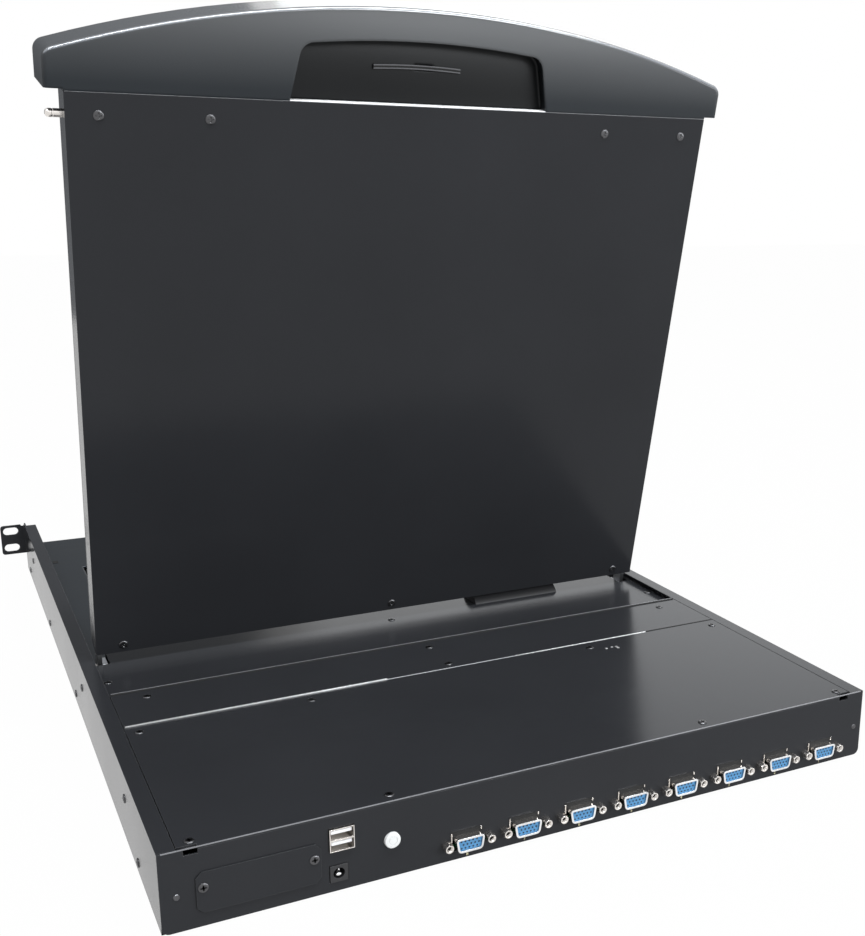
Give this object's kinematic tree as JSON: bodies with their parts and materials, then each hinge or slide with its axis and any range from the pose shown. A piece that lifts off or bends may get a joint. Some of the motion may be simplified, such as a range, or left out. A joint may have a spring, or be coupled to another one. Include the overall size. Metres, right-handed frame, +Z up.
{
  "type": "rackmount lcd console drawer",
  "caption": "Rack console drawer with a folding flat screen, keyboard and touch pad, rear display and data ports.",
  "frame": {"origin": "centre of the overall box's base, drawer closed and screen raised", "axes": "+X to the user's right, -Y to the user's side, +Z up"},
  "size_m": [0.4826, 0.663, 0.464],
  "materials": {
    "coated_steel": "satin black powder coat",
    "slate_plastic": "fine satin texture",
    "black_plastic": "fine matt texture",
    "key_plastic": "satin key caps",
    "port_blue": "blue moulded insert",
    "button_white": "white moulded button",
    "nickel": "nickel plate",
    "zinc_steel": "zinc plate",
    "screw_black": "black oxide",
    "board_green": "solder mask",
    "display_glass": "anti-glare"
  },
  "bodies": {
    "chassis": {"side_panel_right": "coated_steel", "side_panel_left": "coated_steel", "base_pan": "coated_steel", "rear_panel": "coated_steel", "rear_cover": "coated_steel", "cover_strip": "coated_steel", "cross_beam": "coated_steel", "blank_plate": "coated_steel", "chassis_screws": "screw_black", "vga_shells": "nickel", "vga_inserts": "port_blue", "vga_jackscrews": "nickel", "usb_shell": "nickel", "usb_tongues": "black_plastic", "power_jack": "black_plastic", "switch_board": "board_green", "slide_outer_right": "zinc_steel", "slide_outer_left": "zinc_steel"},
    "drawer": {"slide_inner_right": "zinc_steel", "slide_inner_left": "zinc_steel", "drawer_tray": "coated_steel", "deck": "coated_steel", "cable_cover": "black_plastic", "hinge_brackets": "zinc_steel", "hinge_pins": "nickel", "tray_screws": "screw_black", "keyboard_housing": "slate_plastic", "key_plate": "black_plastic", "touch_pad": "black_plastic"},
    "screen": {"lid_back_cover": "coated_steel", "lid_front_frame": "slate_plastic", "lcd_glass": "display_glass", "lcd_panel": "black_plastic", "lcd_board": "board_green", "osd_board": "board_green", "hinge_arms": "zinc_steel", "lid_screws": "screw_black", "handle": "slate_plastic", "latch_bracket": "zinc_steel", "latch_spring": "nickel"},
    "latch": {"lock_pin": "nickel"},
    "rear_button": {"rear_button": "button_white"},
    "ball_cage_outer_right": {"ball_cage_outer_right": "nickel"},
    "slide_middle_right": {"slide_middle_right": "zinc_steel"},
    "ball_cage_inner_right": {"ball_cage_inner_right": "nickel"},
    "ball_cage_outer_left": {"ball_cage_outer_left": "nickel"},
    "slide_middle_left": {"slide_middle_left": "zinc_steel"},
    "ball_cage_inner_left": {"ball_cage_inner_left": "nickel"},
    "key_row_1": {"key_row_1": "key_plastic"},
    "key_row_2": {"key_row_2": "key_plastic"},
    "key_row_3": {"key_row_3": "key_plastic"},
    "key_row_4": {"key_row_4": "key_plastic"},
    "key_row_5": {"key_row_5": "key_plastic"},
    "key_row_6": {"key_row_6": "key_plastic"},
    "click_button_left": {"click_button_left": "key_plastic"},
    "click_button_right": {"click_button_right": "key_plastic"},
    "osd_button_1": {"osd_button_1": "key_plastic"},
    "osd_button_2": {"osd_button_2": "key_plastic"},
    "osd_button_3": {"osd_button_3": "key_plastic"},
    "osd_button_4": {"osd_button_4": "key_plastic"}
  },
  "joints": [
    {"name": "drawer_slide", "type": "slide", "parent": "chassis", "child": "drawer", "axis": [0, -1, 0], "range_m": [0, 0.4]},
    {"name": "screen_hinge", "type": "hinge", "parent": "drawer", "child": "screen", "pos_m": [0, 0.0465, 0.0324], "axis": [-1, 0, 0], "range_deg": [-102.3, 18]},
    {"name": "latch_slide", "type": "slide", "parent": "screen", "child": "latch", "axis": [-1, 0, 0], "range_m": [0, 0.009], "stiffness_N_per_m": 400, "springref_m": -0.005, "deforming": ["latch_spring"]},
    {"name": "rear_button_press", "type": "slide", "parent": "chassis", "child": "rear_button", "axis": [0, -1, 0], "range_m": [0, 0.001], "stiffness_N_per_m": 400, "springref_m": -0.001},
    {"name": "ball_cage_outer_right_run", "type": "slide", "parent": "chassis", "child": "ball_cage_outer_right", "axis": [0, -1, 0], "range_m": [0, 0.1]},
    {"name": "slide_middle_right_run", "type": "slide", "parent": "chassis", "child": "slide_middle_right", "axis": [0, -1, 0], "range_m": [0, 0.2]},
    {"name": "ball_cage_inner_right_run", "type": "slide", "parent": "chassis", "child": "ball_cage_inner_right", "axis": [0, -1, 0], "range_m": [0, 0.3]},
    {"name": "ball_cage_outer_left_run", "type": "slide", "parent": "chassis", "child": "ball_cage_outer_left", "axis": [0, -1, 0], "range_m": [0, 0.1]},
    {"name": "slide_middle_left_run", "type": "slide", "parent": "chassis", "child": "slide_middle_left", "axis": [0, -1, 0], "range_m": [0, 0.2]},
    {"name": "ball_cage_inner_left_run", "type": "slide", "parent": "chassis", "child": "ball_cage_inner_left", "axis": [0, -1, 0], "range_m": [0, 0.3]},
    {"name": "key_row_1_press", "type": "slide", "parent": "drawer", "child": "key_row_1", "axis": [0, 0, -1], "range_m": [0, 0.002], "stiffness_N_per_m": 600, "springref_m": -0.002},
    {"name": "key_row_2_press", "type": "slide", "parent": "drawer", "child": "key_row_2", "axis": [0, 0, -1], "range_m": [0, 0.002], "stiffness_N_per_m": 600, "springref_m": -0.002},
    {"name": "key_row_3_press", "type": "slide", "parent": "drawer", "child": "key_row_3", "axis": [0, 0, -1], "range_m": [0, 0.002], "stiffness_N_per_m": 600, "springref_m": -0.002},
    {"name": "key_row_4_press", "type": "slide", "parent": "drawer", "child": "key_row_4", "axis": [0, 0, -1], "range_m": [0, 0.002], "stiffness_N_per_m": 600, "springref_m": -0.002},
    {"name": "key_row_5_press", "type": "slide", "parent": "drawer", "child": "key_row_5", "axis": [0, 0, -1], "range_m": [0, 0.002], "stiffness_N_per_m": 600, "springref_m": -0.002},
    {"name": "key_row_6_press", "type": "slide", "parent": "drawer", "child": "key_row_6", "axis": [0, 0, -1], "range_m": [0, 0.002], "stiffness_N_per_m": 600, "springref_m": -0.002},
    {"name": "click_button_left_press", "type": "slide", "parent": "drawer", "child": "click_button_left", "axis": [0, 0, -1], "range_m": [0, 0.0008], "stiffness_N_per_m": 300, "springref_m": -0.001},
    {"name": "click_button_right_press", "type": "slide", "parent": "drawer", "child": "click_button_right", "axis": [0, 0, -1], "range_m": [0, 0.0008], "stiffness_N_per_m": 300, "springref_m": -0.001},
    {"name": "osd_button_1_press", "type": "slide", "parent": "screen", "child": "osd_button_1", "axis": [0, 0.977, -0.213], "range_m": [0, 0.0004], "stiffness_N_per_m": 500, "springref_m": -0.0005},
    {"name": "osd_button_2_press", "type": "slide", "parent": "screen", "child": "osd_button_2", "axis": [0, 0.977, -0.213], "range_m": [0, 0.0004], "stiffness_N_per_m": 500, "springref_m": -0.0005},
    {"name": "osd_button_3_press", "type": "slide", "parent": "screen", "child": "osd_button_3", "axis": [0, 0.977, -0.213], "range_m": [0, 0.0004], "stiffness_N_per_m": 500, "springref_m": -0.0005},
    {"name": "osd_button_4_press", "type": "slide", "parent": "screen", "child": "osd_button_4", "axis": [0, 0.977, -0.213], "range_m": [0, 0.0004], "stiffness_N_per_m": 500, "springref_m": -0.0005}
  ],
  "couplings": [
    {"joint": "ball_cage_outer_right_run", "follows": "drawer_slide", "ratio": 0.25},
    {"joint": "slide_middle_right_run", "follows": "drawer_slide", "ratio": 0.5},
    {"joint": "ball_cage_inner_right_run", "follows": "drawer_slide", "ratio": 0.75},
    {"joint": "ball_cage_outer_left_run", "follows": "drawer_slide", "ratio": 0.25},
    {"joint": "slide_middle_left_run", "follows": "drawer_slide", "ratio": 0.5},
    {"joint": "ball_cage_inner_left_run", "follows": "drawer_slide", "ratio": 0.75}
  ]
}
